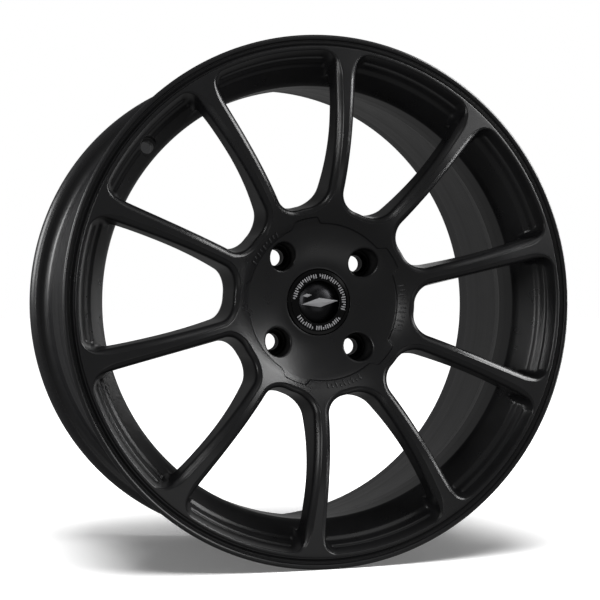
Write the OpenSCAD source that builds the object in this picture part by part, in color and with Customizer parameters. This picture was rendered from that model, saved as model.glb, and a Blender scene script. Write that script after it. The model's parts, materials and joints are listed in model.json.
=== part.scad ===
// Forged ten-spoke racing wheel with a snap-in centre cap and a hub-centring ring.
// The wheel centre is the origin and the spin axis is Y. The street side faces -Y.
// Shapes are drawn with the street side up (+Z) and turned into place by on_axle().

/* [Rim] */
// Diameter of the two tyre bead seats
bead_d = 436.6; // [430:0.1:440]
// Width between the inner faces of the two tyre flanges
rim_w = 190.5; // [184:0.5:192]
// Height of each tyre flange above its bead seat
flange_h = 17.2; // [16.6:0.1:18]
// Thickness of each tyre flange along the axle
flange_t = 10.75; // [10:0.25:12]
// Radius of the tyre side of the drop centre
well_r = 200; // [198:0.5:201]
// Wall thickness at the drop centre
well_wall = 4.5; // [3.5:0.1:5]
// Diameter of the drilling for the valve stem
valve_d = 11.3; // [8.3:0.1:11.5]
// Direction of the valve drilling, counted from +X towards +Z
valve_angle = 140; // [136:1:144]

/* [Hub] */
// Distance of the mounting face in front of the rim centreline
offset_et = 45; // [43:0.5:47]
// Diameter of the rear bore that takes the centring ring
bore_d = 73.1; // [72:0.1:74]
// Outer radius of the hub between the spokes
hub_r = 85; // [84:0.5:86]
// Outer radius of the flat mounting face
pad_r = 72; // [70:0.5:73]
// Diameter of the circle that the bolts lie on
bolt_pcd = 108; // [106:0.5:110]
// Diameter of each bolt hole
bolt_hole_d = 15; // [14:0.1:15.4]
// Diameter of the pocket that each bolt head sits in
bolt_pocket_d = 25; // [24:0.5:27]
// Direction of the first bolt, counted from +X towards +Z
bolt_angle = 41.5; // [40:0.5:43]

/* [Spokes] */
// Height of the spoke crest in front of the rim centreline
crest_h = 117.4; // [116:0.2:118]
// Radius at which the spokes stand furthest forward
crest_r = 150; // [148:0.5:152]
// Half width of a spoke across its shoulders at its narrowest
waist = 7.4; // [7:0.1:8]
// Width of the bevel along each edge of a spoke
bevel_w = 5.2; // [4.6:0.1:5.6]
// Depth of the bevel along each edge of a spoke
bevel_h = 5.7; // [4:0.1:6]
// Direction of the first spoke, counted from +X towards +Z
spoke_angle = 14; // [10:1:18]

/* [Centre cap] */
// Diameter of the cap's visible disc
cap_d = 60; // [59.6:0.1:62.2]

/* [Centring ring] */
// Inner diameter of the ring, which is the car's hub spigot
spigot_d = 63.4; // [60:0.1:66]

/* [Hidden] */
$fn = 96;
sector = 36;
bolt_count = 4;
seat_r = bead_d / 2;
lip_r = seat_r + flange_h;
flange_z = rim_w / 2;
front_z = flange_z + flange_t;
crest_lip = 2;                   // rounding of the two outer lips
flange_arc = flange_t - crest_lip;
bead_arc = 6.5;
hump_z = flange_z - 21;
hump_r = seat_r - 1.2;
hump_h = 0.9;
split_z = 66;                    // the flanges of the rim begin here
ring_r = 223.2;                  // crest of the narrow ring that the spokes run into
ring_round = 1.8;
ring_z = 107.6;
well_in = well_r - well_wall;
well_front = 70;
well_back = 41;
well_split = 42;                 // the drop centre and the rear leg meet here
leg_in = 205;                    // brake side of the rear leg at its front end
leg_z = 18;
rear_in = 211.5;                 // brake side of the rear leg at its rear end
seat_in = 214.4;                 // brake side under the rear bead seat
hub_arc = 125;                   // curvature of the spoke faces towards the hub
rim_arc = 175;                   // curvature of the spoke faces towards the rim
straight_r = 180;                // from here outwards the spoke faces run straight
back_h = 95.5;                   // height of the spokes' back at its furthest forward
back_r = 160;
back_bow_in = 167;               // bow of the spokes' back, towards the hub and the rim
back_bow_out = 288;
slope_r = 208;                   // the back of the spokes meets the rim's slope here
slope_h = 87.5;
slope_rise = 0.94;
flare_r = 115;                   // the spokes widen from here outwards
flare = 3600;
root_fillet = 15;
top_fillet = 11.5;
spoke_top = 221.5;
spoke_in = 79;                   // the spokes start inside the hub and end inside the rim
spoke_out = 222.6;
draft = 0.1;                     // side walls spread by this much per unit of depth
stations = 18;
border_r = 70;                   // edge of the dish in the hub
core_r = 68;                     // the middle of the hub and its edge meet here
dish_z = 74.2;
dish_step = 1.2;                 // the dish lies this far below the face at its edge
dish_power = 1.6;                // how the dish steepens towards its edge
cap_bore_r = 29;
cap_seat_z = 71;
bore_step_z = 58;
seat_insert_r = 11;
insert_z = 52;
insert_top = 61.5;
cone_h = 4.5;                    // depth of the cone in each bolt seat
cap_r = cap_d / 2;
cap_under = cap_seat_z + 0.1;    // underside of the cap's disc
leg_out_r = cap_bore_r - 0.08;
leg_in_r = 26.2;
leg_end = bore_step_z + 0.5;
leg_slot = 5;
leg_count = 8;
spring_z = bore_step_z + 4;
badge_r = 26.5;
badge_z = cap_seat_z + 3.2;
ring_fit = 0.05;                 // running clearance of the centring ring

module on_axle() rotate([90, 0, 0]) children();

function arc(centre, r, a0, a1, n) =
    [for (i = [0 : n]) let (a = a0 + (a1 - a0) * i / n) centre + r * [cos(a), sin(a)]];
function mirrored(p) = [for (i = [len(p) - 1 : -1 : 0]) [p[i][0], -p[i][1]]];

// ---- rim section, as [radius, height] ----

// Tyre side of one flange, its bead seat and its safety hump, from the lip inwards.
function flange_side() = concat(
    arc([lip_r - flange_arc, flange_z + flange_arc], flange_arc, 0, -90, 4),
    arc([seat_r + bead_arc, flange_z - bead_arc], bead_arc, 90, 180, 3),
    [[hump_r, hump_z + 2.6], [hump_r + hump_h, hump_z], [hump_r, hump_z - 2.6]]);

// Drop centre and rear leg on the tyre side, from front to rear.
function well_side() = [
    [hump_r - 1.6, split_z + 4.4], [well_r + 2.5, split_z], [well_r, split_z - 3],
    [well_r, well_back + 2.5], [leg_in + 4.5, leg_z + 1], [rear_in + 3, -60]];

// Brake side, from the rear lip forwards to the drop centre.
function brake_side() = [
    [lip_r - 5.5, -front_z], [lip_r - 12, -front_z + 5.2], [seat_r + 1, -front_z + 6.4],
    [seat_in + 0.8, -93], [seat_in, -90], [seat_in - 0.4, -70.5], [rear_in, -66],
    [leg_in, leg_z], [well_in, well_back], [well_in, well_front]];

// Slope from the drop centre to the spoke ring, the ring, and the groove inside the lip.
function street_side() = concat(
    [[210, 89.5], [211.5, 90.5], [216, 97], [217.4, 97.8], [219.6, 101.5]],
    arc([ring_r, ring_z - ring_round], ring_round, 180, 0, 6),
    [[225.6, 102.9], [226.6, 102.4], [229.4, 104.1], [230, 103.5], [230.8, 103.5]]);

function rim_section() = concat(
    arc([lip_r - crest_lip, front_z - crest_lip], crest_lip, 180, 0, 6),
    [for (i = [1 : len(flange_side()) - 1]) flange_side()[i]],
    well_side(),
    [for (i = [0 : len(flange_side()) - 2]) mirrored(flange_side())[i]],
    arc([lip_r - crest_lip, -front_z + crest_lip], crest_lip, 0, -90, 3),
    brake_side(),
    street_side());

// The region of the rim between two heights.
module rim_slice(z0, z1) {
    rotate_extrude()
        intersection() {
            polygon(rim_section());
            translate([180, z0]) square([80, z1 - z0]);
        }
}

module rim_outer_flange() color("#26272a") on_axle() difference() {
    rim_slice(split_z, front_z + 10);
    valve_drilling();
}

module rim_well() color("#2b2c2f") on_axle() rim_slice(well_split, split_z);

module rim_barrel() color("#2b2c2f") on_axle() rim_slice(-split_z, well_split);

module rim_inner_flange() color("#26272a") on_axle() rim_slice(-front_z - 10, -split_z);

// Valve hole with its spot-face pocket, sunk into the slope behind the spoke ring.
module valve_drilling() {
    valve_r = 207.5;
    pocket_floor = 80;
    pocket_d = 17;
    reach = 40;
    rotate([0, 0, valve_angle]) translate([valve_r, 0, 0]) {
        translate([0, 0, pocket_floor - reach / 2]) cylinder(d = valve_d, h = reach);
        translate([0, 0, pocket_floor]) cylinder(d = pocket_d, h = reach);
    }
}

// ---- spokes ----

slope = tan(asin((straight_r - crest_r) / rim_arc));
straight_z = crest_h - rim_arc + sqrt(pow(rim_arc, 2) - pow(straight_r - crest_r, 2));

// Height of the spoke face at a radius.
function face_z(r) =
    r < crest_r ? crest_h - hub_arc + sqrt(pow(hub_arc, 2) - pow(crest_r - r, 2))
    : r < straight_r ? crest_h - rim_arc + sqrt(pow(rim_arc, 2) - pow(r - crest_r, 2))
    : straight_z - (r - straight_r) * slope;

// Height of the spoke's back, which runs into the slope behind the spoke ring.
function back_z(r) =
    r < back_r ? back_h - pow(back_r - r, 2) / back_bow_in
    : r < slope_r ? back_h - pow(r - back_r, 2) / back_bow_out
    : slope_h + (r - slope_r) * slope_rise;

// Share of the bevel that is left at a radius: it narrows where the spoke joins the ring.
function bevel_part(r) =
    let (start = 205, lost = 0.62)
    r < start ? 1 : 1 - lost * (r - start) / (spoke_out - start);

// Half width of the spoke at a radius, with its edge drawn in by e, flared at both ends.
function half_w(r, e) =
    let (w = waist + pow(max(0, r - flare_r), 2) / flare,
         root = hub_r + root_fillet,
         top = spoke_top - top_fillet)
    r < root ? w + root_fillet - sqrt(max(0, pow(root_fillet + e, 2) - pow(root - r, 2)))
    : r > top ? w + top_fillet - sqrt(max(0, pow(top_fillet + e, 2) - pow(r - top, 2)))
    : w - e;

// Outline of the spoke's section at a radius: face, bevels, drafted walls and back.
function spoke_section(r) =
    let (e = bevel_w * bevel_part(r),
         h = bevel_h * bevel_part(r),
         zf = face_z(r),
         zb = back_z(r),
         wf = half_w(r, e),
         ws = half_w(r, 0),
         wb = ws + draft * (zf - h - zb))
    [[-wb, zb], [wb, zb], [ws, zf - h], [(ws + wf) / 2 + 0.6, zf - 0.38 * h], [wf, zf],
     [-wf, zf], [-(ws + wf) / 2 - 0.6, zf - 0.38 * h], [-ws, zf - h]];

// Radii of the stations, closer together in the two flared ends.
function station(i) =
    let (t = i / stations, crowding = 0.085)
    spoke_in + (spoke_out - spoke_in) * (t - crowding * sin(360 * t));

function spoke_points() = [
    for (i = [0 : stations]) let (r = station(i))
        for (p = spoke_section(r)) let (a = p[0] / r * 180 / PI) [r * cos(a), r * sin(a), p[1]]];

// One spoke, reaching a little way into the hub and the rim.
module spoke_blank() {
    n = 8;                       // corners of the section
    m = stations * n;
    polyhedron(
        points = spoke_points(),
        faces = concat(
            [for (i = [0 : stations - 1]) for (j = [0 : n - 1]) let (k = (j + 1) % n)
                each [[i * n + j, (i + 1) * n + j, (i + 1) * n + k],
                      [i * n + j, (i + 1) * n + k, i * n + k]]],
            [for (j = [1 : n - 2]) [0, j, j + 1]],
            [for (j = [1 : n - 2]) [m, m + j + 1, m + j]]));
}

module spoke(k) color("#2e2f32") on_axle() rotate([0, 0, spoke_angle + sector * k])
    difference() {
        spoke_blank();
        hub_blank();
        rim_slice(split_z, front_z + 10);
    }

// ---- hub ----

function hub_section() = concat(
    [[bore_d / 2, offset_et + 0.8], [bore_d / 2 + 0.8, offset_et], [pad_r, offset_et],
     [pad_r + 1.5, offset_et + 1.2], [hub_r, 61], [hub_r, face_z(hub_r) - bevel_h],
     [hub_r - 1.8, face_z(hub_r - 1.8) - 2.6], [hub_r - bevel_w, face_z(hub_r - bevel_w)],
     [border_r + 1.6, face_z(border_r + 1.6)], [border_r + 1, face_z(border_r) - 0.9]],
    dish_curve(),
    [[cap_r + 0.5, dish_z - 0.2], [cap_r + 0.2, dish_z - 0.6], [cap_r + 0.2, cap_seat_z],
     [cap_bore_r, cap_seat_z], [cap_bore_r, bore_step_z], [bore_d / 2, bore_step_z]]);

// The hub turned all round between two radii, before its bolt holes are cut.
module hub_blank(r0 = 0, r1 = hub_r + 10) {
    rotate_extrude()
        intersection() {
            polygon(hub_section());
            translate([r0, 0]) square([r1 - r0, front_z + 20]);
        }
}

// Concave dish, from its border in to the centre cap.
function dish_curve() =
    let (a0 = [border_r, face_z(border_r) - dish_step], a1 = [cap_r + 2, dish_z], n = 8)
    [for (i = [0 : n]) let (t = i / n) [a0[0] + (a1[0] - a0[0]) * t,
        a1[1] + (a0[1] - a1[1]) * pow(1 - t, dish_power)]];

module at_bolts(k) rotate([0, 0, bolt_angle + k * 360 / bolt_count])
    translate([bolt_pcd / 2, 0, 0]) children();

module hub_edge() color("#303134") on_axle() hub_blank(core_r);

module hub_centre() color("#303134") on_axle() difference() {
    hub_blank(0, core_r);
    for (k = [0 : bolt_count - 1]) at_bolts(k) {
        translate([0, 0, offset_et - 5]) cylinder(d = bolt_hole_d, h = insert_top - offset_et);
        translate([0, 0, insert_z]) cylinder(r = seat_insert_r, h = insert_top - insert_z + 1);
        translate([0, 0, insert_top]) cylinder(d = bolt_pocket_d, h = front_z);
    }
}

// Steel seat pressed into each bolt pocket, with the 60 degree cone for the nut.
module bolt_seat(k) color("#77787a") on_axle() at_bolts(k) difference() {
    translate([0, 0, insert_z]) cylinder(r = seat_insert_r, h = insert_top - insert_z);
    translate([0, 0, insert_z - 1]) cylinder(d = bolt_hole_d, h = 20);
    translate([0, 0, insert_top - cone_h])
        cylinder(r1 = bolt_hole_d / 2, r2 = bolt_hole_d / 2 + (cone_h + 0.5) * tan(30),
            h = cone_h + 0.5);
}

// ---- centre cap ----

// Moulded cap: a domed disc and a ring of snap legs behind it.
module cap_shell() color("#0c0c0d") on_axle() difference() {
    rotate_extrude() polygon([
        [0, cap_under], [leg_in_r, cap_under], [leg_in_r, leg_end],
        [leg_out_r - 0.6, leg_end], [leg_out_r, leg_end + 0.9],
        [leg_out_r, cap_under], [cap_r, cap_under], [cap_r, cap_under + 2.5],
        [cap_r - 0.8, cap_under + 3.5], [cap_r - 3, cap_under + 4],
        [badge_r + 0.1, cap_under + 4.1], [badge_r + 0.1, badge_z], [0, badge_z]]);
    translate([0, 0, spring_z]) rotate_extrude()
        translate([leg_in_r, 0]) circle(r = 0.9, $fn = 32);
    for (k = [0 : leg_count - 1]) rotate([0, 0, 360 / leg_count * k])
        translate([leg_in_r - 3, -leg_slot / 2, leg_end - 1])
            cube([9, leg_slot, cap_under - leg_end]);
}

// Thin printed disc bonded into the front of the cap.
module cap_badge() color("#3a3b3e") on_axle() rotate_extrude() polygon([
    [0, badge_z], [badge_r, badge_z], [badge_r, badge_z + 0.7], [badge_r - 0.6, badge_z + 1.1],
    [0, badge_z + 1.1]]);

// Sprung wire ring that holds the snap legs out.
module cap_spring_ring() color("#9a9b9d") on_axle()
    translate([0, 0, spring_z]) rotate([0, 0, 60])
        rotate_extrude(angle = 330) translate([leg_in_r + 0.1, 0]) circle(r = 0.8, $fn = 32);

// ---- centring ring ----

// Plastic ring that fills the gap between the wheel's bore and the car's spigot.
module centring_ring() color("#55565a") on_axle() rotate_extrude() polygon([
    [spigot_d / 2, offset_et + 1.5], [spigot_d / 2 + 1, offset_et + 0.5],
    [bore_d / 2 - ring_fit - 0.6, offset_et + 0.5], [bore_d / 2 - ring_fit, offset_et + 1.1],
    [bore_d / 2 - ring_fit, bore_step_z - 1.5], [spigot_d / 2, bore_step_z - 1.5]]);

hub_centre();
hub_edge();
rim_outer_flange();
rim_well();
rim_barrel();
rim_inner_flange();
spoke(0);  // spoke_01
spoke(1);  // spoke_02
spoke(2);  // spoke_03
spoke(3);  // spoke_04
spoke(4);  // spoke_05
spoke(5);  // spoke_06
spoke(6);  // spoke_07
spoke(7);  // spoke_08
spoke(8);  // spoke_09
spoke(9);  // spoke_10
bolt_seat(0);  // bolt_seat_1
bolt_seat(1);  // bolt_seat_2
bolt_seat(2);  // bolt_seat_3
bolt_seat(3);  // bolt_seat_4
cap_shell();
cap_badge();
cap_spring_ring();
centring_ring();
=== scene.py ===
"""Forged ten-spoke racing wheel: the visual model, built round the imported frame.

Profiles are in millimetres, drawn street side up: a point is (radius, angle, height),
where height is the distance in front of the rim centreline. place() turns them into the
frame, in metres, with the spin axis along Y and the street side towards -Y.
"""

import json
import math

import bmesh
import bpy
import numpy as np
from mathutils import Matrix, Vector
from mathutils.geometry import delaunay_2d_cdt

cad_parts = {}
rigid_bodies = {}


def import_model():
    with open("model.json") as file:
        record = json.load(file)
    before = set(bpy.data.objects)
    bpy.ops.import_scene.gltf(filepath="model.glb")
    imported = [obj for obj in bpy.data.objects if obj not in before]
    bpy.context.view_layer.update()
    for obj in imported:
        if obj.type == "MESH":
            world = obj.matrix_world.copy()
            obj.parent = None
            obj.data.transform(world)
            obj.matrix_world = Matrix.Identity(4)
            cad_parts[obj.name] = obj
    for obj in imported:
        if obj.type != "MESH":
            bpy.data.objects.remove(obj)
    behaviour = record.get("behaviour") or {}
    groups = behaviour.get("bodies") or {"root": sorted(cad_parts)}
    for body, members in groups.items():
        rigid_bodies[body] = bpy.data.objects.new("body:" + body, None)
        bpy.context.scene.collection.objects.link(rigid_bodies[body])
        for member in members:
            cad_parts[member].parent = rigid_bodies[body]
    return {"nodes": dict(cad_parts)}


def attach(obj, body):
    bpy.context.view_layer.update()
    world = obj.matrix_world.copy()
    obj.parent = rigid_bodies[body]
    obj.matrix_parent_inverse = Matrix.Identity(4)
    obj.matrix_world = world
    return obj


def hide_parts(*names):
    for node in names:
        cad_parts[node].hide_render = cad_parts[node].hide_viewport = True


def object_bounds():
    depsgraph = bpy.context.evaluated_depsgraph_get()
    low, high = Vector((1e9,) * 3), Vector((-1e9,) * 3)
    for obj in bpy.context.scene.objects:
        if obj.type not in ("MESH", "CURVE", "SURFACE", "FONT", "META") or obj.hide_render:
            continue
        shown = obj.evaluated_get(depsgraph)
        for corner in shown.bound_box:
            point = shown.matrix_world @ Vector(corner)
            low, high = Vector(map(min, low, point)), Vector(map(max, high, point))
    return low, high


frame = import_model()
cad_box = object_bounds()

# ------------------------------------------------------------------ sizes, in millimetres
SPOKES = 10
FIRST_SPOKE = 14.0               # direction of the first spoke, degrees from +X towards +Z
SECTOR = 360.0 / SPOKES
HALF = SECTOR / 2
HUB_R, WAIST = 85.0, 7.4
ROOT_FILLET, TOP_FILLET, TOP_R = 15.0, 11.5, 221.5
CREST_R, CREST_H = 150.0, 117.4
HUB_ARC, RIM_ARC, STRAIGHT_R = 125.0, 175.0, 180.0
SPREAD_R, SPREAD = 115.0, 3600.0  # where a spoke starts to widen, and how slowly it does
BACK_CREST_R, BACK_CREST_H = 160.0, 95.5
BACK_BOW_IN, BACK_BOW_OUT = 167.0, 288.0
HUB_BACK_H, BOSS_H = 61.8, 46.7  # height of the hub's back at its edge and at its boss
DRAFT = 0.1
FACE_IN, FACE_OUT = 78.6, 223.9  # circles where the spoke mesh meets the hub and the lip
BACK_IN, BACK_OUT = 74.0, 198.0  # the same on the back
BOLT_PCD, BOLT_ANGLE, POCKET_R = 108.0, 41.5, 12.5
MOUNT_R, MOUNT_Z = 72.0, 45.0    # the face that bears on the car
RING_BORE_R = 37.35              # the centring ring's bore at its chamfered mouth
SLOPE_FOOT = (195.5, 70.0)       # the slope behind the spoke ring, as (radius, height)


def place(r, deg, z):
    """Points given as radius, angle in degrees and height, as frame coordinates in metres."""
    a = np.radians(deg)
    return np.stack([r * np.cos(a), -z, r * np.sin(a)], axis=-1) * 0.001


# ------------------------------------------------------------------ surfaces of the forging
RIM_SLOPE = math.tan(math.asin((STRAIGHT_R - CREST_R) / RIM_ARC))
STRAIGHT_Z = CREST_H - RIM_ARC + math.sqrt(RIM_ARC ** 2 - (STRAIGHT_R - CREST_R) ** 2)


def face_z(r):
    """Height of the bowed street face of hub and spokes."""
    r = np.asarray(r, float)
    inner = CREST_H - HUB_ARC + np.sqrt(HUB_ARC ** 2 - np.clip(CREST_R - r, 0, 110) ** 2)
    outer = CREST_H - RIM_ARC + np.sqrt(RIM_ARC ** 2 - np.clip(r - CREST_R, 0, 60) ** 2)
    return np.where(r < CREST_R, inner,
                    np.where(r < STRAIGHT_R, outer, STRAIGHT_Z - (r - STRAIGHT_R) * RIM_SLOPE))


def under_z(r):
    """Height of the back of the hub's edge and of the spokes."""
    r = np.asarray(r, float)
    bow = np.where(r < BACK_CREST_R, BACK_BOW_IN, BACK_BOW_OUT)
    return np.where(r < HUB_R, HUB_BACK_H + (r - HUB_R) * (HUB_BACK_H - BOSS_H) / (HUB_R - BACK_IN),
                    BACK_CREST_H - (r - BACK_CREST_R) ** 2 / bow)


SLOPE_R = np.array([190.0, 195.5, 210.0, 211.5, 216.0, 217.4, 219.6, 221.5])
SLOPE_Z = np.array([62.6, 70.0, 89.5, 90.1, 97.0, 97.4, 101.5, 105.6])


def slope_z(r):
    """Height of the stepped slope between the drop centre and the spoke ring."""
    return np.interp(r, SLOPE_R, SLOPE_Z)


def width(r):
    """Half width of a spoke across its shoulders."""
    return WAIST + np.clip(np.asarray(r, float) - SPREAD_R, 0, None) ** 2 / SPREAD


# ------------------------------------------------------------------ mesh collecting
class Skin:
    """Collects grids of points into one mesh whose grids are then sewn together."""

    def __init__(self):
        self.points, self.faces, self.count = [], [], 0

    def add(self, points, faces):
        """Adds points and the faces between them, numbered from the first of these points."""
        self.points.append(points.reshape(-1, 3))
        self.faces.extend([tuple(i + self.count for i in f) for f in faces])
        self.count += points.reshape(-1, 3).shape[0]

    def grid(self, points, closed=False):
        """Quads between the rows of a grid of points; closed joins each row's ends."""
        n, m = points.shape[:2]
        across = m if closed else m - 1
        self.add(points, [(i * m + j, i * m + (j + 1) % m, (i + 1) * m + (j + 1) % m, (i + 1) * m + j)
                          for i in range(n - 1) for j in range(across)])

    def sectors(self, r, deg, z):
        """A grid of half a sector, mirrored and repeated round the wheel."""
        for k in range(SPOKES):
            mid = FIRST_SPOKE + SECTOR * k
            for side in (1, -1):
                self.grid(place(r, mid + side * deg, z))

    def revolve(self, section, angles):
        """A section of (radius, height) points turned about the wheel's axis."""
        r = np.array([p[0] for p in section])[:, None]
        z = np.array([p[1] for p in section])[:, None]
        self.grid(place(r + 0 * angles, 0 * r + angles, z + 0 * angles), closed=True)

    def build(self, name, body, material, weld=2e-6):
        """Sews the grids into one smooth object that rides on a body."""
        mesh = bpy.data.meshes.new(name)
        mesh.from_pydata(np.concatenate(self.points).tolist(), [], self.faces)
        bm = bmesh.new()
        bm.from_mesh(mesh)
        bmesh.ops.remove_doubles(bm, verts=bm.verts, dist=weld)
        bmesh.ops.dissolve_degenerate(bm, edges=bm.edges, dist=1e-7)
        bmesh.ops.recalc_face_normals(bm, faces=bm.faces)
        for f in bm.faces:
            f.smooth = True
        bm.to_mesh(mesh)
        bm.free()
        mesh.materials.append(material)
        obj = bpy.data.objects.new(name, mesh)
        bpy.context.scene.collection.objects.link(obj)
        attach(obj, body)
        return obj


def rounded(points, steps=5):
    """A polyline whose corners are rounded: each point is (radius, height, rounding)."""
    out = []
    n = len(points)
    for i, p in enumerate(points):
        here = np.array(p[:2], float)
        size = p[2] if len(p) > 2 else 0
        if i in (0, n - 1) or size <= 0:
            out.append(here)
            continue
        a = np.array(points[i - 1][:2], float) - here
        b = np.array(points[i + 1][:2], float) - here
        la, lb = np.linalg.norm(a), np.linalg.norm(b)
        a, b = a / la, b / lb
        half = math.acos(max(-1, min(1, float(a @ b)))) / 2
        if half > math.radians(88.5):
            out.append(here)
            continue
        cut = min(size / math.tan(half), 0.48 * la, 0.48 * lb)
        p0, p2 = here + a * cut, here + b * cut
        for t in np.linspace(0, 1, steps):
            w = math.sin(half)           # rational curve: a true circular arc
            k = np.array([(1 - t) ** 2, 2 * t * (1 - t) * w, t ** 2])
            out.append((k[0] * p0 + k[1] * here + k[2] * p2) / k.sum())
    return out


# ------------------------------------------------------------------ spokes, hub edge and ring
# Samples along half a window: hub circle, root fillet, spoke side, top fillet, ring.
N_FLAT, N_ROOT, N_SIDE, N_END, N_TOP, N_RING = 3, 15, 34, 10, 12, 12
N_HUB = N_FLAT + N_ROOT
N_FACE, N_WALL, N_BACK = 5, 9, 12
SIDE_END, TOP_START = 189.0, 205.0

# The bevel along each edge: how far in from the shoulder, and how deep below the face.
BEVEL = np.array([[5.5, 0.0], [5.2, 0.1], [4.95, 0.62], [4.55, 0.82], [3.4, 1.55],
                  [2.1, 2.6], [1.1, 3.75], [0.35, 5.1], [0.0, 6.3]])


def outline(e):
    """Radius and angle of every sample on the window's outline, drawn into the metal by e."""
    rs, ds = [], []
    edge = math.degrees((WAIST + ROOT_FILLET) / (HUB_R - e))
    for i in range(N_FLAT):
        rs.append(HUB_R - e)
        ds.append(HALF + (edge - HALF) * i / N_FLAT)
    root = HUB_R + ROOT_FILLET
    for i in range(N_ROOT):
        a = math.pi / 2 * i / N_ROOT
        r = root - (ROOT_FILLET + e) * math.cos(a)
        rs.append(r)
        ds.append(math.degrees((WAIST + ROOT_FILLET - (ROOT_FILLET + e) * math.sin(a)) / r))
    side = np.concatenate([np.linspace(root, SIDE_END, N_SIDE + 1)[:-1],
                           np.linspace(SIDE_END, TOP_START, N_END + 1)[:-1]])
    for r in side:
        rs.append(r)
        ds.append(math.degrees((width(r) - e) / r))
    top = TOP_R - TOP_FILLET
    for r in (TOP_START, 206.7, 208.4):
        rs.append(r)
        ds.append(math.degrees((width(r) - e) / r))
    for a in (0, 12, 24, 36, 48, 58, 68, 76, 83):
        r = top + (TOP_FILLET + e) * math.sin(math.radians(a))
        rs.append(r)
        ds.append(math.degrees(
            (width(r) + TOP_FILLET - (TOP_FILLET + e) * math.cos(math.radians(a))) / r))
    edge = math.degrees((width(TOP_R) + TOP_FILLET) / (TOP_R + e))
    for i in range(N_RING + 1):
        rs.append(TOP_R + e)
        ds.append(edge + (HALF - edge) * i / N_RING)
    return np.array(rs), np.array(ds)


base_r, base_deg = outline(0.0)
N_ALL = len(base_r)
SIDE_FROM, SIDE_TO = N_HUB, N_HUB + N_SIDE + N_END   # the samples that run along the spoke's side
RING_FROM = SIDE_TO + N_TOP                          # the samples from here on lie on the ring
# the bevel keeps its size along the spoke and dwindles round the ring
FADE_R, FADE_WIDTH, FADE_DEPTH = 198.0, 0.69, 0.64
shrink = np.clip((base_r - FADE_R) / (TOP_R - FADE_R), 0, 1)
shrink = shrink * shrink * (3 - 2 * shrink)
BEVEL_WIDE, BEVEL_DEEP = 1 - FADE_WIDTH * shrink, 1 - FADE_DEPTH * shrink


def drawn_in(e):
    """The outline drawn in by a different amount at every sample."""
    r = np.empty(N_ALL)
    d = np.empty(N_ALL)
    for value in np.unique(np.round(e, 4)):
        rr, dd = outline(value)
        pick = np.round(e, 4) == value
        r[pick], d[pick] = rr[pick], dd[pick]
    return r, d


# inner boundary of the face: hub circle, spoke centreline, ring circle
BLEND_IN, BLEND_OUT = 0.3, 0.6    # shares of a spoke's length where its middle meets hub and lip
along = np.arange(N_SIDE + N_END + 1) / (N_SIDE + N_END)
to_hub = np.clip(1 - along / BLEND_IN, 0, 1) ** 2
to_lip = np.clip((along - BLEND_OUT) / (1 - BLEND_OUT), 0, 1) ** 2
side_r = base_r[SIDE_FROM:SIDE_TO + 1]
mid_r = side_r - (side_r[0] - FACE_IN) * to_hub + (FACE_OUT - side_r[-1]) * to_lip
bound_r = np.concatenate([np.full(N_HUB, FACE_IN), mid_r, np.full(N_TOP + N_RING, FACE_OUT)])
bound_deg = np.concatenate([np.linspace(HALF, 0, N_HUB + 1)[:-1], np.zeros(len(mid_r)),
                            np.linspace(0, HALF, N_TOP + N_RING + 1)[1:]])

skin = Skin()

# face
edge_r, edge_deg = drawn_in(BEVEL[0, 0] * BEVEL_WIDE)
rows_r, rows_d, rows_z = [], [], []
for t in np.linspace(0, 1, N_FACE + 1):
    r = bound_r + (edge_r - bound_r) * t
    rows_r.append(r)
    rows_d.append(bound_deg + (edge_deg - bound_deg) * t)
    rows_z.append(face_z(r))
# bevel
for e, depth in BEVEL[1:]:
    r, d = drawn_in(e * BEVEL_WIDE)
    rows_r.append(r)
    rows_d.append(d)
    rows_z.append(face_z(r) - depth * BEVEL_DEEP)
shoulder = [rows_r[-1], rows_d[-1], rows_z[-1]]

# back edge of the spokes: along the underside, then round a fillet and onto the slope
JOIN = np.array([208.4, 87.4])
FILLET, HALF_CORNER = 6.0, math.radians(34.9)
ARC_START, ARC_STOP = math.radians(72.5), math.radians(-36.9)
CENTRE = JOIN + np.array([-0.95, -0.313]) * FILLET / math.sin(HALF_CORNER)
line_r = np.linspace(SIDE_END, CENTRE[0] + FILLET * math.cos(ARC_START), 12)
arc_a = np.linspace(ARC_START, ARC_STOP, 14)[1:]
tail = np.concatenate([np.stack([line_r, under_z(line_r)], 1),
                       CENTRE + FILLET * np.stack([np.cos(arc_a), np.sin(arc_a)], 1)])
tail[-1, 1] = slope_z(tail[-1, 0])
length = np.concatenate([[0], np.cumsum(np.linalg.norm(np.diff(tail, axis=0), axis=1))])
at = np.linspace(0, length[-1], N_END + 1)
tail = np.stack([np.interp(at, length, tail[:, 0]), np.interp(at, length, tail[:, 1])], 1)
END_R = tail[-1, 0]

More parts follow.
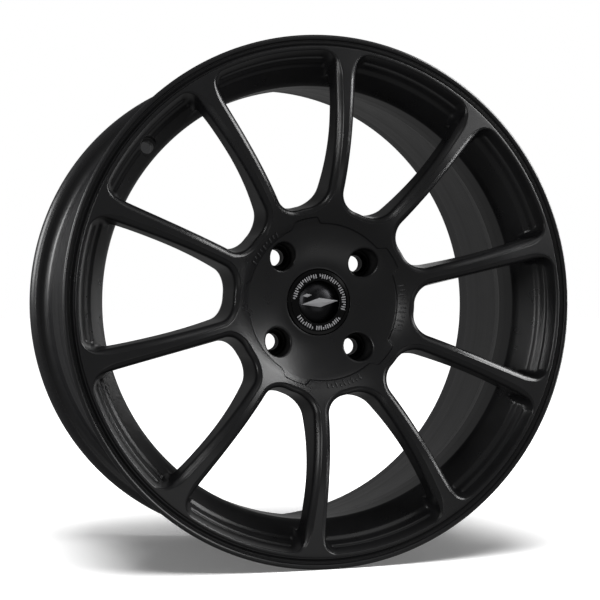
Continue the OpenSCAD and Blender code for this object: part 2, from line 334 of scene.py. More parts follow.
# foot of the wall: back edge on hub and spokes, then up the slope to the ring
FOOT_R = np.array([END_R, 204.2, 205.5, 207.0, 208.5, 210.0, 211.5, 213.3, 214.9, 216.0,
                   216.85, 217.25, 217.4])
foot_r, foot_d, foot_z = base_r.copy(), base_deg.copy(), np.zeros(N_ALL)
foot_z[:SIDE_FROM] = under_z(np.maximum(base_r[:SIDE_FROM], HUB_R))
foot_z[SIDE_FROM:SIDE_TO + 1] = under_z(side_r)
foot_r[SIDE_FROM + N_SIDE:SIDE_TO + 1] = tail[:, 0]
foot_z[SIDE_FROM + N_SIDE:SIDE_TO + 1] = tail[:, 1]
wall_e = -DRAFT * (shoulder[2] - foot_z)
ROOT_BACK = 18.5                  # the window's corners are rounder at the back than in front
for i in range(N_HUB):
    e = wall_e[i]
    a = max(0, i - N_FLAT) / N_ROOT * math.pi / 2
    r = HUB_R + ROOT_BACK - (ROOT_BACK + e) * math.cos(a)
    t = WAIST + ROOT_BACK - (ROOT_BACK + e) * math.sin(a)
    foot_r[i] = r
    foot_d[i] = math.degrees(t / r) + max(0, N_FLAT - i) / N_FLAT * (HALF - math.degrees(t / r))
catch = np.clip(1 - np.arange(N_SIDE) / 8, 0, 1) ** 2
foot_r[SIDE_FROM:SIDE_FROM + N_SIDE] = side_r[:N_SIDE] + (ROOT_BACK - ROOT_FILLET) * catch
spread = width(foot_r) - wall_e
foot_d[SIDE_FROM:SIDE_TO + 1] = np.degrees(spread / foot_r)[SIDE_FROM:SIDE_TO + 1]
foot_z[:SIDE_FROM + N_SIDE] = under_z(np.maximum(foot_r[:SIDE_FROM + N_SIDE], HUB_R))
# the foot leaves the spoke's edge by FOOT_GAP, then turns a corner that widens as it climbs
TURN_R, TURN_RUN, FOOT_GAP = 210.0, 7.4, 2.4
REACH, REACH_GAIN = 5.6, 1.8
for i, r in list(enumerate(FOOT_R))[1:]:
    j = SIDE_TO + i
    if r <= TURN_R:
        t = width(r) + np.interp(r, [END_R, TURN_R], [FOOT_GAP, TOP_FILLET - REACH])
    else:
        reach = REACH + REACH_GAIN * ((r - TURN_R) / TURN_RUN)
        t = width(r) + TOP_FILLET - reach * math.cos(math.asin(min(1.0, (r - TURN_R) / reach)))
    foot_r[j], foot_d[j], foot_z[j] = r, math.degrees(t / r), slope_z(r)
foot_r[RING_FROM:], foot_z[RING_FROM:] = FOOT_R[-1], slope_z(FOOT_R[-1])
foot_d[RING_FROM:] = np.linspace(foot_d[RING_FROM], HALF, N_RING + 1)

# wall; on hub and spokes it ends a little above the back edge, which is rounded
ROUND = 2.2
free = np.zeros(N_ALL)
free[:SIDE_TO + 1] = 1
free[SIDE_FROM + N_SIDE:SIDE_TO + 1] = np.linspace(1, 0, N_END + 1) ** 0.5
low_z = foot_z + ROUND * free
COVE, RING_BOW = 1.5, 0.45
cove = np.zeros(N_ALL)            # how much the wall sweeps out into the slope at its foot
cove[SIDE_TO:RING_FROM + 1] = np.interp(np.arange(N_TOP + 1), [0, 4, 8, N_TOP], [0, 1, 1, 0])
ring = np.clip((base_r - 212) / 9, 0, 1)      # 0 on the spokes, 1 round the ring
for t in np.linspace(0, 1, N_WALL + 1)[1:]:
    bow = math.sin(math.pi * t)
    rows_r.append(shoulder[0] + (foot_r - shoulder[0]) * t)
    rows_d.append(shoulder[1] + (foot_d - shoulder[1]) * t ** (1 + COVE * cove))
    rows_z.append(shoulder[2] + (low_z - shoulder[2]) * t - RING_BOW * bow * ring)
grid = [np.array(x) for x in (rows_r, rows_d, rows_z)]
skin.sectors(*grid)

# back: rounded edge, then across to the hub circle or to the spoke centreline
back_mid = foot_r[SIDE_FROM:SIDE_TO + 1] - (foot_r[SIDE_FROM] - BACK_IN) * to_hub
back_z = under_z(back_mid)
back_z[N_SIDE:] = tail[:, 1]
inner_r = np.concatenate([np.full(N_HUB, BACK_IN), back_mid])
inner_d = np.concatenate([np.linspace(HALF, 0, N_HUB + 1)[:-1], np.zeros(len(back_mid))])
inner_z = np.concatenate([np.full(N_HUB, float(under_z(BACK_IN))), back_z])
NEAR = (0, 0.25, 0.9, 2.3)        # distance of the first rows from the edge
LIFT = (1, 0.62, 0.2, 0)          # how much of the rounding's height each of them keeps
last = SIDE_TO + 1
near_r, near_d, near_z = foot_r[:last], foot_d[:last], foot_z[:last]
rows_r, rows_d, rows_z = [grid[0][-1][:last]], [grid[1][-1][:last]], [grid[2][-1][:last]]
gap = np.hypot((near_r - inner_r), np.radians(near_d - inner_d) * near_r)
curved = np.arange(last) < SIDE_FROM + N_SIDE
for i in range(1, N_BACK + 1):
    if i < len(NEAR):
        share, lift = np.minimum(1, NEAR[i] / gap), LIFT[i]
    else:
        first = NEAR[-1] / gap
        share, lift = first + (1 - first) * (i - 3) / (N_BACK - 3), 0
    r = near_r + (inner_r - near_r) * share
    z = np.where(curved, under_z(r), near_z + (inner_z - near_z) * share)
    rows_r.append(r)
    rows_d.append(near_d + (inner_d - near_d) * share)
    rows_z.append(z + lift * ROUND * free[:last])
skin.sectors(*[np.array(x) for x in (rows_r, rows_d, rows_z)])
under_edge = [np.array(x)[:, -1] for x in (rows_r, rows_d, rows_z)]

# the slope between the spokes, in rows of one radius each
cols = np.linspace(0, 1, N_RING + 1) ** 1.25
rows_r, rows_d, rows_z = [], [], []
for i in range(N_TOP, -1, -1):
    j = SIDE_TO + i
    share = cols if i < N_TOP else (foot_d[RING_FROM:] - foot_d[RING_FROM]) / (HALF - foot_d[RING_FROM])
    rows_r.append(np.full(N_RING + 1, foot_r[j]))
    rows_d.append(foot_d[j] + (HALF - foot_d[j]) * share)
    rows_z.append(np.full(N_RING + 1, foot_z[j]))
skin.sectors(*[np.array(x) for x in (rows_r, rows_d, rows_z)])

# below the spokes the slope runs all the way round
start_r = np.concatenate([under_edge[0][::-1], rows_r[-1][1:]])
start_d = np.concatenate([under_edge[1][::-1], rows_d[-1][1:]])
start_z = np.concatenate([under_edge[2][::-1], rows_z[-1][1:]])
even = np.linspace(0, HALF, len(start_d))
rows_r, rows_d, rows_z = [], [], []
for t in np.linspace(0, 1, 4):
    rows_r.append(start_r + (BACK_OUT - start_r) * t)
    rows_d.append(start_d + (even - start_d) * t)
    rows_z.append(start_z + (slope_z(BACK_OUT) - start_z) * t)
skin.sectors(*[np.array(x) for x in (rows_r, rows_d, rows_z)])

# ------------------------------------------------------------------ the rim, turned
rim_angles = FIRST_SPOKE + np.arange(2 * SPOKES * (N_TOP + N_RING)) * HALF / (N_TOP + N_RING)
SEAT_R, LIP_R, FRONT_Z, FLANGE_Z = 218.3, 235.5, 106.0, 95.25
tyre_side = [(LIP_R, 104.0), (LIP_R - 0.6, 100.6), (232.9, 97.8), (230.1, 95.9), (226.75, FLANGE_Z),
             (224.8, FLANGE_Z), (221.6, 94.35), (219.2, 92.0), (SEAT_R, 88.75), (217.1, 76.9, 1),
             (218.0, 74.25, 2), (217.1, 71.6, 1)]


def rim_profile():
    """The turned section: lip, tyre side from front to back, rear flange, barrel, slope."""
    front = rounded([(FACE_OUT, float(face_z(FACE_OUT))), (225.0, 106.9, 0.8), (225.5, 102.6, 0.5),
                     (226.6, 102.4, 0.5), (229.4, 104.3, 0.7), (229.9, 103.5, 0.3), (230.7, 103.5, 0.4),
                     (231.3, 105.1, 0.8), (232.6, FRONT_Z, 1.2), (233.9, FRONT_Z, 2.5),
                     (LIP_R, 104.6, 1.8), (LIP_R, 103.6)])
    well = [(215.4, 69.5, 3), (203.0, 66.8, 4), (200.0, 62.0, 4), (200.0, 44.0, 6),
            (209.5, 19.0, 20), (214.8, -60.0, 6)]
    rear = [(r, -z) + tuple(rest) for r, z, *rest in tyre_side[::-1]]
    shape = tyre_side + well + rear + [
        (LIP_R, -FRONT_Z, 1.9), (230.0, -FRONT_Z, 2.5), (223.5, -100.4, 3), (219.3, -99.6, 2),
        (215.2, -93.0, 2), (214.4, -90.0, 3), (214.0, -70.5, 0.5), (211.9, -67.4, 0.5),
        (211.4, -60.0, 1), (205.4, 12.0, 1), (204.9, 12.6, 0.4), (195.7, 41.0, 2),
        (SLOPE_FOOT[0], SLOPE_FOOT[1] - 1, 4),
        (BACK_OUT, float(slope_z(BACK_OUT)))]
    return front + rounded(shape)


skin.revolve(rim_profile(), rim_angles)

# ------------------------------------------------------------------ the hub
hub_angles = FIRST_SPOKE + np.arange(360.0)
BORDER_R, BUMP = 70.0, 5.7
BUMP_AT, BUMP_STEP = 32.0, 72.0
CAP_EDGE = 30.6
DISH_R, DISH_Z, DISH_POWER = 32.0, 74.2, 1.6
STEP = 1.2                        # the dish's edge lies this far below the face


def border(deg):
    """Radius of the edge of the dish, which steps out at five places."""
    off = np.abs((np.asarray(deg, float) - BUMP_AT + BUMP_STEP / 2) % BUMP_STEP - BUMP_STEP / 2)
    x = np.clip((12.0 - off) / 4.5, 0, 1)
    return BORDER_R + BUMP * x * x * (3 - 2 * x)


def dish_z(r):
    """Height of the dish in the middle of the hub."""
    r = np.asarray(r, float)
    rim = float(face_z(BORDER_R)) - STEP
    x = np.clip((r - DISH_R) / (BORDER_R - DISH_R), 0, 1)
    return np.where(r > BORDER_R, face_z(r) - STEP, DISH_Z + (rim - DISH_Z) * x ** DISH_POWER)


edge = border(hub_angles)
rings = [(np.full(360, FACE_IN), 0), (np.full(360, 77.3), 0), (edge + 0.9, 0),
         (edge + 0.5, 0.04), (edge + 0.25, 0.3), (edge + 0.1, 0.9)]
hub_r = [r for r, drop in rings] + [edge - 0.15, edge - 0.7]
hub_z = [face_z(r) - drop for r, drop in rings] + [dish_z(edge - 0.15) + 0.06, dish_z(edge - 0.7)]
skin.grid(place(np.array(hub_r), np.tile(hub_angles, (len(hub_r), 1)), np.array(hub_z)), closed=True)

bolts = [(BOLT_PCD / 2 * math.cos(math.radians(BOLT_ANGLE + 90 * i)),
          BOLT_PCD / 2 * math.sin(math.radians(BOLT_ANGLE + 90 * i))) for i in range(4)]
turn = np.radians(np.arange(0, 360, 5.0))
small = np.radians(np.arange(0, 360, 3.0))


def sheet(outer, inner, holes, spacing, keep_off, mouths=()):
    """A flat region with holes as triangles: outer and inner rings, holes as (x, y, radius).

    Each mouth is a ring of extra points round every hole, as (distance, turn).
    """
    loops = [outer, inner] + [np.stack([x + r * np.cos(turn), y + r * np.sin(turn)], 1)
                              for x, y, r in holes]
    lines = []
    start = 0
    for loop in loops:
        n = len(loop)
        lines += [(start + i, start + (i + 1) % n) for i in range(n)]
        start += n
    extra = []
    r_in, r_out = np.hypot(*inner[0]), np.hypot(*outer.T)
    reach = r_out.max()
    out_deg = np.degrees(np.arctan2(outer[:, 1], outer[:, 0])) % 360
    order = np.argsort(out_deg)
    limit = lambda deg: np.interp(deg % 360, out_deg[order], r_out[order], period=360)
    for i, r in enumerate(np.arange(r_in + spacing, reach, spacing)):
        m = int(2 * math.pi * r / spacing / 4) * 4
        deg = (np.arange(m) + 0.5 * (i % 2)) * 360 / m
        for d in deg:
            if r > limit(d) - 0.6 * spacing:
                continue
            p = (r * math.cos(math.radians(d)), r * math.sin(math.radians(d)))
            if all(math.hypot(p[0] - x, p[1] - y) > rr + keep_off for x, y, rr in holes):
                extra.append(p)
    for x, y, r in holes:
        for grow, shift in mouths:
            extra += [(x + (r + grow) * math.cos(a + shift), y + (r + grow) * math.sin(a + shift))
                      for a in turn]
    points = [Vector(p) for loop in loops for p in loop] + [Vector(p) for p in extra]
    verts, _, faces, *_ = delaunay_2d_cdt(points, lines, [], 0, 1e-6)
    flat = np.array([tuple(v) for v in verts])
    keep = []
    for f in faces:
        c = flat[list(f)].mean(axis=0)
        rad = math.hypot(*c)
        if rad < r_in - 0.02 or rad > limit(math.degrees(math.atan2(c[1], c[0]))):
            continue
        if any(math.hypot(c[0] - x, c[1] - y) < rr * 0.999 for x, y, rr in holes):
            continue
        keep.append(tuple(f))
    return flat, keep


def on_hub(flat, z):
    """Points of a flat sheet at height z, as frame coordinates in metres."""
    return np.stack([flat[:, 0], -z, flat[:, 1]], axis=-1) * 0.001


MOUTH = 1.5                       # rounding of the mouth of each bolt pocket


def mouth_drop(flat):
    """How far the rounding of the pocket mouths lowers each point of the dish."""
    near = np.min([np.hypot(flat[:, 0] - x, flat[:, 1] - y) for x, y in bolts], axis=0)
    x = np.clip(1 - (near - POCKET_R) / MOUTH, 0, 1)
    return MOUTH * (1 - np.sqrt(np.clip(1 - x * x, 0, 1)))


outer = np.stack([(edge - 0.7) * np.cos(np.radians(hub_angles)),
                  (edge - 0.7) * np.sin(np.radians(hub_angles))], 1)
inner = np.stack([CAP_EDGE * np.cos(small), CAP_EDGE * np.sin(small)], 1)
half_step = math.radians(2.5)
flat, tris = sheet(outer, inner, [(x, y, POCKET_R) for x, y in bolts], 1.6, MOUTH + 1.2,
                   [(0.06, half_step), (0.3, 0), (0.7, half_step), (MOUTH, 0), (MOUTH + 0.8, half_step)])
skin.add(on_hub(flat, dish_z(np.hypot(flat[:, 0], flat[:, 1])) - mouth_drop(flat)), tris)

# bolt pockets, with the bores for the steel seats
POCKET_Z = 62.7
BOLT_BORE = ((12.2, 61.8), (11.7, 61.5), (11.0, 61.5), (11.0, 52.0), (7.5, 52.0), (7.5, 45.5),
             (8.0, MOUNT_Z))
for x, y in bolts:
    ring = np.stack([x + POCKET_R * np.cos(turn), y + POCKET_R * np.sin(turn)], 1)
    top = dish_z(np.hypot(ring[:, 0], ring[:, 1])) - MOUTH
    levels = [(POCKET_R, top), (POCKET_R, (top + POCKET_Z) / 2), (POCKET_R, POCKET_Z + 0 * top)]
    levels += [(r, z + 0 * top) for r, z in BOLT_BORE]
    pts = np.array([np.stack([x + r * np.cos(turn), -z, y + r * np.sin(turn)], 1) for r, z in levels])
    skin.grid(pts * 0.001, closed=True)

# recess and bore for the cap, bore for the centring ring, mounting face
bore = rounded([(CAP_EDGE, float(dish_z(CAP_EDGE))), (30.2, 73.9, 0.3), (30.2, 71.0, 0.2),
                (29.0, 71.0, 0.3), (29.0, 58.0, 0.2), (36.55, 58.0, 0.2), (36.55, 45.8, 0.3),
                (RING_BORE_R, MOUNT_Z)])
skin.revolve(bore, np.degrees(small))
outer = MOUNT_R * np.stack([np.cos(np.radians(hub_angles)), np.sin(np.radians(hub_angles))], 1)
inner = RING_BORE_R * np.stack([np.cos(small), np.sin(small)], 1)
flat, tris = sheet(outer, inner, [(x, y, BOLT_BORE[-1][0]) for x, y in bolts], 4.0, 1.5)
skin.add(on_hub(flat, np.full(len(flat), MOUNT_Z)), tris)
skin.revolve([(MOUNT_R, MOUNT_Z), (72.8, 45.3), (73.5, 46.0), (BACK_IN, float(under_z(BACK_IN)))],
             hub_angles)


# ------------------------------------------------------------------ materials
def material(name, colour, roughness, metallic=0.0):
    """A new material, with its nodes, its links and its Principled shader."""
    m = bpy.data.materials.new(name)
    m.use_nodes = True
    nodes, links = m.node_tree.nodes, m.node_tree.links
    shader = nodes["Principled BSDF"]
    shader.inputs["Base Color"].default_value = (*colour, 1)
    shader.inputs["Roughness"].default_value = roughness
    shader.inputs["Metallic"].default_value = metallic
    return m, nodes, links, shader


def noise(nodes, links, source, scale, detail=3.0):
    """Noise from 0 to 1 at the given coordinates."""
    n = nodes.new("ShaderNodeTexNoise")
    n.inputs["Scale"].default_value = scale
    n.inputs["Detail"].default_value = detail
    links.new(source, n.inputs["Vector"])
    return n.outputs["Fac"]


def ramp(nodes, links, source, low, high, a=0.0, b=1.0):
    """A value that runs from a to b while the source runs from low to high."""
    n = nodes.new("ShaderNodeMapRange")
    n.inputs["From Min"].default_value = low
    n.inputs["From Max"].default_value = high
    n.inputs["To Min"].default_value = a
    n.inputs["To Max"].default_value = b
    links.new(source, n.inputs["Value"])
    return n.outputs["Result"]


def maths(nodes, links, operation, a, b=None):
    """One Math node; a and b are numbers or sockets."""
    n = nodes.new("ShaderNodeMath")
    n.operation = operation
    for socket, value in zip(n.inputs, (a, b)):
        if value is None:
            continue
        if isinstance(value, (int, float)):
            socket.default_value = value
        else:
            links.new(value, socket)
    return n.outputs[0]


def bump(nodes, links, height, strength, distance, under=None):
    """The normal of a bumpy surface, optionally on top of another bump."""
    n = nodes.new("ShaderNodeBump")
    n.inputs["Strength"].default_value = strength
    n.inputs["Distance"].default_value = distance
    links.new(height, n.inputs["Height"])
    if under is not None:
        links.new(under, n.inputs["Normal"])
    return n.outputs["Normal"]


def powder_coat():
    """Satin black powder coat: faint mottling, orange peel, and turning marks in the barrel."""
    m, nodes, links, shader = material("satin_black", (0.013, 0.013, 0.014), 0.29)
    where = nodes.new("ShaderNodeTexCoord").outputs["Object"]
    split = nodes.new("ShaderNodeSeparateXYZ")
    links.new(where, split.inputs[0])
    x, y, z = split.outputs
    radius = maths(nodes, links, "SQRT", maths(
        nodes, links, "ADD", maths(nodes, links, "MULTIPLY", x, x),
        maths(nodes, links, "MULTIPLY", z, z)))
    # circumferential turning marks: noise that depends on radius and depth only
    lathe = nodes.new("ShaderNodeCombineXYZ")
    links.new(radius, lathe.inputs[0])
    links.new(y, lathe.inputs[1])
    marks = noise(nodes, links, lathe.outputs[0], 900.0, 2.0)
    bands = noise(nodes, links, lathe.outputs[0], 160.0, 3.0)
    barrel = maths(nodes, links, "MULTIPLY",
                   ramp(nodes, links, radius, 0.190, 0.194), ramp(nodes, links, y, -0.072, -0.060))
    mottle = noise(nodes, links, where, 60.0, 4.0)
    peel = noise(nodes, links, where, 1500.0, 2.0)
    speckled = ramp(nodes, links, mottle, 0.3, 0.7, 0.27, 0.31)
    banded = ramp(nodes, links, bands, 0.3, 0.7, -0.03, 0.08)
    rough = maths(nodes, links, "ADD", speckled, maths(nodes, links, "MULTIPLY", barrel, banded))
    links.new(rough, shader.inputs["Roughness"])
    tint = nodes.new("ShaderNodeMix")
    tint.data_type = "RGBA"
    tint.inputs[6].default_value = (0.0115, 0.0115, 0.0125, 1)
    tint.inputs[7].default_value = (0.0145, 0.0145, 0.0155, 1)
    links.new(mottle, tint.inputs[0])
    links.new(tint.outputs[2], shader.inputs["Base Color"])
    turned = bump(nodes, links, maths(nodes, links, "MULTIPLY", marks, barrel), 0.5, 0.00012)
    links.new(bump(nodes, links, peel, 0.25, 0.00004, turned), shader.inputs["Normal"])
    return m


BLACK = powder_coat()
forging = skin.build("forging", "wheel", BLACK)

# valve hole and its pocket, sunk into the slope behind the ring
VALVE_R, VALVE_DEG, VALVE_FLOOR = 207.5, 140.0, 80.0
VALVE_HOLE, VALVE_POCKET = 5.65, 8.5
drill = Skin()
around = np.radians(np.arange(0, 360, 7.5))
vx, vy = VALVE_R * math.cos(math.radians(VALVE_DEG)), VALVE_R * math.sin(math.radians(VALVE_DEG))
steps = rounded([(VALVE_HOLE, VALVE_FLOOR - 20), (VALVE_HOLE, VALVE_FLOOR),
                 (VALVE_POCKET, VALVE_FLOOR, 0.6), (VALVE_POCKET, VALVE_FLOOR + 30)])
rows = np.array([np.stack([vx + r * np.cos(around), -z + 0 * around, vy + r * np.sin(around)], 1)
                 for r, z in steps]) * 0.001
drill.grid(rows, closed=True)
drill.add(rows[0], [tuple(range(len(around)))])
drill.add(rows[-1], [tuple(range(len(around)))[::-1]])
cutter = drill.build("drill", "wheel", BLACK)
cut = forging.modifiers.new("valve", "BOOLEAN")
cut.operation, cut.object, cut.solver = "DIFFERENCE", cutter, "EXACT"
bpy.context.view_layer.update()
holed = bpy.data.meshes.new_from_object(forging.evaluated_get(bpy.context.evaluated_depsgraph_get()))
forging.modifiers.clear()
forging.data = holed
holed.name = "forging"
holed.set_sharp_from_angle(angle=math.radians(50))
bpy.data.objects.remove(cutter)
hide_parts(*sorted(n for n in frame["nodes"] if n.startswith(("hub_", "rim_", "spoke_"))))


def simple(name, colour, roughness, metallic=0.0, grain=400.0, depth=0.00002, spread=0.05):
    """A plain finish with fine grain in its bump and slight variation in its roughness."""
    m, nodes, links, shader = material(name, colour, roughness, metallic)
    where = nodes.new("ShaderNodeTexCoord").outputs["Object"]
    cloud = noise(nodes, links, where, 90.0, 3.0)
    links.new(ramp(nodes, links, cloud, 0.3, 0.7, roughness - spread, roughness + spread),
              shader.inputs["Roughness"])
    links.new(bump(nodes, links, noise(nodes, links, where, grain, 2.0), 0.4, depth),
              shader.inputs["Normal"])
    return m


def turned_metal(name, colour, roughness, across):
    """Turned metal: fine rings about the wheel's axis and a highlight drawn out across them."""
    m, nodes, links, shader = material(name, colour, roughness, 1.0)
    shader.inputs["Anisotropic"].default_value = across
    where = nodes.new("ShaderNodeTexCoord").outputs["Object"]
    split = nodes.new("ShaderNodeSeparateXYZ")
    links.new(where, split.inputs[0])
    x, _, z = split.outputs
    flat = nodes.new("ShaderNodeCombineXYZ")
    links.new(x, flat.inputs[0])
    links.new(z, flat.inputs[2])
    length = nodes.new("ShaderNodeVectorMath")
    length.operation = "LENGTH"
    links.new(flat.outputs[0], length.inputs[0])
    ring = nodes.new("ShaderNodeCombineXYZ")
    links.new(length.outputs["Value"], ring.inputs[0])
    fine = noise(nodes, links, ring.outputs[0], 2500.0, 2.0)
    tangent = nodes.new("ShaderNodeTangent")
    tangent.direction_type = "RADIAL"
    tangent.axis = "Y"
    links.new(tangent.outputs[0], shader.inputs["Tangent"])
    links.new(ramp(nodes, links, fine, 0.3, 0.7, roughness - 0.05, roughness + 0.08),
              shader.inputs["Roughness"])
    links.new(bump(nodes, links, fine, 0.3, 0.00003), shader.inputs["Normal"])
    return m


def dress(node, made):
    """Gives a CAD node its finish."""
    mesh = frame["nodes"][node].data
    mesh.materials.clear()
    mesh.materials.append(made)


# painted shade for the bolt pockets: a darker coat where shade falls deep inside them
POCKET_SHADE = simple("pocket_painted_shade", (0.006, 0.006, 0.0065), 0.45)
GLOSS = simple("cap_black", (0.004, 0.004, 0.0043), 0.2, grain=500.0, depth=0.00001, spread=0.03)
# both reflect less at their surface than a plain coat does; in the pockets this is painted shade
for made, level in ((POCKET_SHADE, 0.12), (GLOSS, 0.2)):
    made.node_tree.nodes["Principled BSDF"].inputs["Specular IOR Level"].default_value = level
DISC = turned_metal("badge_metal", (0.03, 0.03, 0.032), 0.28, 0.85)
MARK = simple("badge_mark", (0.62, 0.62, 0.64), 0.42, grain=900.0)
SEAT = turned_metal("seat_steel", (0.022, 0.022, 0.023), 0.4, 0.3)
WIRE = simple("spring_wire", (0.5, 0.5, 0.5), 0.3, metallic=1.0, grain=1500.0)
PLASTIC = simple("ring_plastic", (0.06, 0.06, 0.065), 0.55, grain=1100.0, depth=0.00004)
dress("cap_shell", GLOSS)
dress("cap_spring_ring", WIRE)
dress("centring_ring", PLASTIC)
for i in range(4):
    dress("bolt_seat_%d" % (i + 1), SEAT)

# painted shade: the walls of the bolt pockets are masked off from the coat and given a darker, less
# reflective material that stands in for the shade deep in them
forging.data.materials.append(POCKET_SHADE)
BORE_START = 45.6
for face in forging.data.polygons:
    x, y, z = face.center * 1000
    if -y > BORE_START and any(math.hypot(x - bx, z - bz) < POCKET_R + 0.05 for bx, bz in bolts):
        face.material_index = 1


# ------------------------------------------------------------------ marks on hub and cap
SUNK = 0.25                       # how deep a mark's foot goes below its surface


def pad(points, height, lift, bevel):
    """A raised mark: its outline in the wheel's plane, on a surface given by height(x, y)."""
    shape = np.array(points, float)
    mid = shape.mean(axis=0)
    out = np.hypot(*(shape - mid).T)
    drawn = mid + (shape - mid) * (1 - bevel / np.maximum(out, 1e-6))[:, None]
    layers = [(shape, -SUNK), (shape, lift - bevel), (drawn, lift)]
    rows = [np.stack([q[:, 0], -(height(*q.T) + up), q[:, 1]], 1) * 0.001 for q, up in layers]
    n = len(shape)
    centre = np.array([[mid[0], -(float(height(*mid)) + lift), mid[1]]]) * 0.001
    base = np.array([[mid[0], -(float(height(*mid)) - SUNK), mid[1]]]) * 0.001
    pts = np.concatenate(rows + [centre, base])
    faces = [(i * n + j, i * n + (j + 1) % n, (i + 1) * n + (j + 1) % n, (i + 1) * n + j)
             for i in range(2) for j in range(n)]
    faces += [(2 * n + j, 2 * n + (j + 1) % n, 3 * n) for j in range(n)]
    faces += [((j + 1) % n, j, 3 * n + 1) for j in range(n)]
    return pts, faces


def bar(r0, r1, deg, wide):
    """Outline of a radial bar with rounded ends."""
    a = math.radians(deg)
    out, side = np.array([math.cos(a), math.sin(a)]), np.array([-math.sin(a), math.cos(a)])
    h = wide / 2
    pts = []
    for r, sign in ((r1 - h, 1), (r0 + h, -1)):
        for t in np.linspace(-80, 80, 5):
            b = math.radians(t)
            pts.append(out * (r + sign * h * math.cos(b)) + side * h * math.sin(b) * sign)
    return pts


def on_face(x, y):
    """Height of the hub's face, for the marks on it."""
    return face_z(np.hypot(x, y))


hub_marks = Skin()
BAR_STEP, BAR_OUTER, BAR_WIDE = 2.9, 76.6, 1.5
BAR_INNER = (71.2, 72.8, 71.2, 74.0)
for middle, span in ((140.0, 28.0), (284.0, 27.0), (356.0, 34.0)):
    count = int(span / BAR_STEP)
    for i in range(count):
        deg = middle + span * ((i + 0.5) / count - 0.5)
        hub_marks.add(*pad(bar(BAR_INNER[i % 4], BAR_OUTER, deg, BAR_WIDE), on_face, 0.8, 0.3))
# the hub's marks are a slightly lighter, rougher satin than the coat
LIGHTER_MARK = simple("mark_black", (0.05, 0.05, 0.052), 0.4, grain=1500.0)
hub_marks.build("hub_marks", "wheel", LIGHTER_MARK, weld=1e-9)

# cap disc: flat printed edge, dished and turned middle
BADGE_TOP, BADGE_BACK, BADGE_R = 75.3, 1.1, 19.2
DISC_DIP, DISC_RISE = 0.9, 0.55  # how far the middle lies below the band, and its edge above that
BAND_R = 26.45
disc = Skin()
turns = np.arange(0, 360, 2.0)
profile = rounded([(0.02, BADGE_TOP - DISC_DIP), (BADGE_R, BADGE_TOP - 0.35),
                   (BADGE_R, BADGE_TOP - BADGE_BACK), (0.02, BADGE_TOP - BADGE_BACK)])
disc.revolve(profile, turns)
top, bottom = disc.points[0].reshape(len(profile), -1, 3)[[0, -1]]
n = len(turns)
disc.add(top, [tuple(range(n))])
disc.add(bottom, [tuple(range(n))[::-1]])
badge = disc.build("cap_disc", "centre_cap", DISC, weld=1e-8)
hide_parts("cap_badge")
band = Skin()
profile = rounded([(BADGE_R, BADGE_TOP - BADGE_BACK), (19.25, BADGE_TOP - 0.3),
                   (19.6, BADGE_TOP, 0.2), (26.0, BADGE_TOP, 0.4), (BAND_R, BADGE_TOP - 0.5, 0.2),
                   (BAND_R, BADGE_TOP - BADGE_BACK)])
band.revolve(profile + [profile[0]], turns)
band.build("cap_band", "centre_cap", GLOSS)


def on_badge(x, y):
    """Height of the cap's disc and band, for the marks on them."""
    r = np.hypot(x, y)
    return np.where(r > BADGE_R + 0.1, BADGE_TOP, BADGE_TOP - DISC_DIP + DISC_RISE * r / BADGE_R)


marks = Skin()
for start, stop, count in ((172.0, 98.0, 15), (88.0, 44.0, 9), (38.0, -16.0, 11), (-38.0, -96.0, 12),
                           (-106.0, -146.0, 8)):
    for i in range(count):
        deg = start + (stop - start) * i / (count - 1)
        marks.add(*pad(bar(21.4 if i % 4 else 22.8, 25.4, deg, 1.2), on_badge, 0.16, 0.08))
# two plain slanted lozenges in the middle
tilt = math.radians(6)
for cx, cy, half_long, half_high in ((0.5, -0.5, 17.5, 4.2), (-11.0, 7.0, 4.6, 1.7)):
    ring = []
    for sx, sy in ((1, 0), (0, 1), (-1, 0), (0, -1)):
        for t in np.linspace(-0.16, 0.16, 5):
            u, v = (sx * (1 - abs(t)), t) if sx else (t, sy * (1 - abs(t)))
            px, py = cx + u * half_long, cy + v * half_high
            ring.append((px * math.cos(tilt) - py * math.sin(tilt),
                         px * math.sin(tilt) + py * math.cos(tilt)))
    ring.sort(key=lambda q: math.atan2(q[1] - (cx * math.sin(tilt) + cy * math.cos(tilt)),
                                       q[0] - (cx * math.cos(tilt) - cy * math.sin(tilt))))
    dense = []
    for i, q in enumerate(ring):
        nxt = ring[(i + 1) % len(ring)]
        dense += [q, ((q[0] + nxt[0]) / 2, (q[1] + nxt[1]) / 2)]
    marks.add(*pad(dense, on_badge, 0.75, 0.1))
marks.build("cap_marks", "centre_cap", MARK, weld=1e-9)

# ------------------------------------------------------------------ camera
AZIMUTH, ELEVATION, DISTANCE = math.radians(-17.894), math.radians(-0.389), 1.3446
SENSOR, LENS = 36.0, 84.76        # millimetres
AIM_RIGHT, AIM_UP = 0.00604, 0.00246
cam = bpy.data.objects.new("camera", bpy.data.cameras.new("camera"))
bpy.context.scene.collection.objects.link(cam)
cam.data.sensor_width, cam.data.lens = SENSOR, LENS
back = Vector((math.sin(AZIMUTH) * math.cos(ELEVATION), -math.cos(AZIMUTH) * math.cos(ELEVATION),
               math.sin(ELEVATION)))
right = Vector((0, 0, 1)).cross(back).normalized()
aim = right * AIM_RIGHT + back.cross(right) * AIM_UP
cam.location = back * DISTANCE
cam.rotation_mode = "QUATERNION"
cam.rotation_quaternion = (aim - cam.location).to_track_quat("-Z", "Y")
cam.data.clip_start, cam.data.clip_end = 0.05, 50
bpy.context.scene.camera = cam

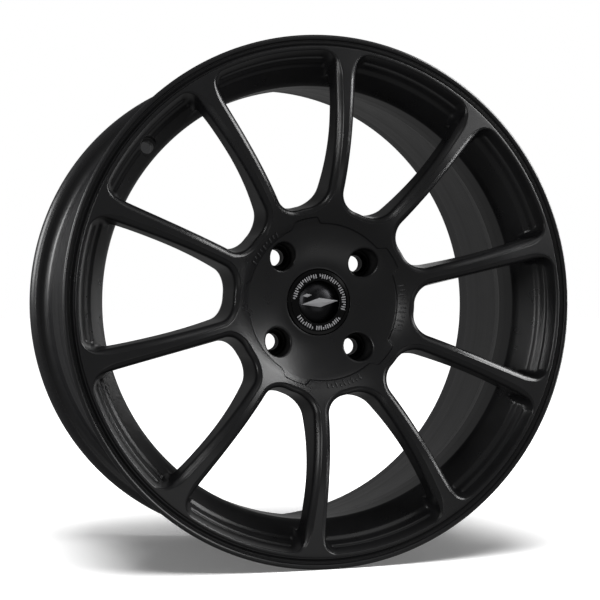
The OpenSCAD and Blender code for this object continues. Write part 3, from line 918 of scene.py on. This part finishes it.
# ------------------------------------------------------------------ floor and light
FLOOR = cad_box[0].z
mesh = bpy.data.meshes.new("floor")
FLOOR_REACH = 60
corners = [(FLOOR_REACH * x, FLOOR_REACH * y, FLOOR) for x, y in ((-1, -1), (1, -1), (1, 1), (-1, 1))]
mesh.from_pydata(corners, [], [(0, 1, 2, 3)])
floor = bpy.data.objects.new("floor", mesh)
bpy.context.scene.collection.objects.link(floor)
pale, nodes, links, shader = material("floor", (0.9, 0.9, 0.9), 0.9)
shader.inputs["Emission Color"].default_value = (1, 1, 1, 1)
# near the wheel the floor glows little, so the overhead light's shadow shows; farther out it is white
GLOW_FROM, GLOW_TO, GLOW_LOW, GLOW_HIGH = 0.28, 0.62, 0.12, 1.0
spot = nodes.new("ShaderNodeVectorMath")
spot.operation = "LENGTH"
links.new(nodes.new("ShaderNodeTexCoord").outputs["Object"], spot.inputs[0])
links.new(ramp(nodes, links, spot.outputs["Value"], GLOW_FROM, GLOW_TO, GLOW_LOW, GLOW_HIGH),
          shader.inputs["Emission Strength"])
mesh.materials.append(pale)
floor.visible_diffuse = floor.visible_glossy = floor.visible_shadow = False


def softbox(name, azimuth, elevation, distance, wide, high, watts):
    """A rectangular light that faces the wheel from the given direction."""
    a, e = math.radians(azimuth), math.radians(elevation)
    data = bpy.data.lights.new(name, "AREA")
    data.shape = "RECTANGLE"
    data.size, data.size_y = wide, high
    data.energy = watts
    o = bpy.data.objects.new(name, data)
    o.location = Vector((math.sin(a) * math.cos(e), -math.cos(a) * math.cos(e), math.sin(e))) * distance
    o.rotation_mode = "QUATERNION"
    o.rotation_quaternion = (-o.location).to_track_quat("-Z", "Y")
    bpy.context.scene.collection.objects.link(o)
    return o


bpy.context.scene.view_settings.view_transform = "Standard"

# name, azimuth, elevation, width, height, watts
RIG = (
    ("right", 90, 34, 0.9, 1.4, 48),
    ("right_low", 94, -4, 0.7, 0.7, 18),
    ("right_rear", 105, 8, 0.8, 0.8, 12),
    ("right_front", 62, 30, 0.7, 0.9, 11),
    ("front_right", 45, 22, 0.7, 0.7, 2.2),
    ("front_high", 20, 60, 1.2, 0.6, 2),
    ("front_low", 10, -26, 1.8, 0.6, 1.8),
    ("left", -98, 18, 1.2, 0.9, 36),
    ("left_front", -60, 12, 0.45, 0.8, 7),
    ("rear", 148, 12, 0.8, 1.8, 3),
)
RIG_DISTANCE = 2.2
for name, azimuth, elevation, wide, high, watts in RIG:
    softbox(name, azimuth, elevation, RIG_DISTANCE, wide, high, watts)

# the floor takes its light from the overhead box alone, so the wheel casts one soft shadow
off_floor = bpy.data.collections.new("off_floor")
off_floor.objects.link(floor)
off_floor.collection_objects[0].light_linking.link_state = "EXCLUDE"
for o in bpy.context.scene.objects:
    if o.type == "LIGHT":
        o.light_linking.receiver_collection = off_floor
on_floor = bpy.data.collections.new("on_floor")
on_floor.objects.link(floor)
overhead = softbox("overhead", -18, 67, 2.4, 1.5, 1.5, 120)
overhead.light_linking.receiver_collection = on_floor

# the room lights the wheel dimly from all round, but the camera sees it white
world = bpy.data.worlds.new("studio")
bpy.context.scene.world = world
world.use_nodes = True
nodes, links = world.node_tree.nodes, world.node_tree.links
sky = nodes["Background"]
white = nodes.new("ShaderNodeBackground")
white.inputs["Color"].default_value = (1, 1, 1, 1)
sky.inputs["Color"].default_value = (0.16, 0.16, 0.16, 1)
pick = nodes.new("ShaderNodeMixShader")
path = nodes.new("ShaderNodeLightPath")
links.new(path.outputs["Is Camera Ray"], pick.inputs[0])
links.new(sky.outputs[0], pick.inputs[1])
links.new(white.outputs[0], pick.inputs[2])
links.new(pick.outputs[0], nodes["World Output"].inputs[0])
